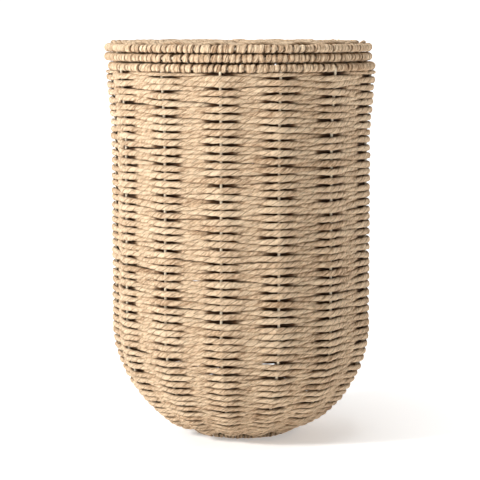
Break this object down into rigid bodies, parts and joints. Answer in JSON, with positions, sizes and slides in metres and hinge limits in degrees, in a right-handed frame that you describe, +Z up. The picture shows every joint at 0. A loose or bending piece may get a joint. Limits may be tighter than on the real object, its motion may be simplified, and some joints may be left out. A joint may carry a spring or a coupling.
{
  "type": "laundry hamper",
  "caption": "Round laundry hamper of woven paper rope on a wire frame, with a rounded base and a flat woven lid that lifts off.",
  "frame": {"origin": "on the basket's axis, where its foot ring meets the floor", "axes": "+Z up along the basket's axis, -Y towards the front; the basket is round, so the front is only the side that the picture shows"},
  "size_m": [0.4021, 0.3996, 0.5822],
  "materials": {
    "paper_rope": "matt two-ply paper rope, natural straw colour",
    "frame_wire": "satin cream paint on steel wire"
  },
  "bodies": {
    "basket": {"rim_wire": "frame_wire", "rim_wrap": "paper_rope", "stake_wire_01": "frame_wire", "stake_wire_02": "frame_wire", "stake_wire_03": "frame_wire", "stake_wire_04": "frame_wire", "stake_wire_05": "frame_wire", "stake_wire_06": "frame_wire", "stake_wire_07": "frame_wire", "stake_wire_08": "frame_wire", "stake_wire_09": "frame_wire", "stake_wire_10": "frame_wire", "stake_wire_11": "frame_wire", "stake_wire_12": "frame_wire", "stake_wire_13": "frame_wire", "wall_weave": "paper_rope", "base_weave": "paper_rope", "base_hub_ring": "frame_wire", "foot_ring_wire": "frame_wire", "foot_ring_wrap": "paper_rope"},
    "lid": {"lid_upper_ring_wire": "frame_wire", "lid_upper_ring_wrap": "paper_rope", "lid_lower_ring_wire": "frame_wire", "lid_lower_ring_wrap": "paper_rope", "lid_spoke_01": "frame_wire", "lid_spoke_02": "frame_wire", "lid_spoke_03": "frame_wire", "lid_spoke_04": "frame_wire", "lid_spoke_05": "frame_wire", "lid_spoke_06": "frame_wire", "lid_spoke_07": "frame_wire", "lid_spoke_08": "frame_wire", "lid_spoke_09": "frame_wire", "lid_spoke_10": "frame_wire", "lid_spoke_11": "frame_wire", "lid_spoke_12": "frame_wire", "lid_spoke_13": "frame_wire", "lid_spoke_14": "frame_wire", "lid_spoke_15": "frame_wire", "lid_spoke_16": "frame_wire", "lid_spoke_17": "frame_wire", "lid_spoke_18": "frame_wire", "lid_spoke_19": "frame_wire", "lid_hub_ring": "frame_wire", "lid_weave": "paper_rope", "lid_strut_01": "frame_wire", "lid_strut_02": "frame_wire", "lid_strut_03": "frame_wire", "lid_strut_04": "frame_wire", "lid_strut_05": "frame_wire", "lid_strut_06": "frame_wire", "lid_strut_07": "frame_wire", "lid_strut_08": "frame_wire", "lid_locating_ring": "frame_wire"}
  },
  "joints": [
    {"name": "lid_lift", "type": "slide", "parent": "basket", "child": "lid", "axis": [0, 0, 1], "range_m": [0, 0.25]}
  ]
}
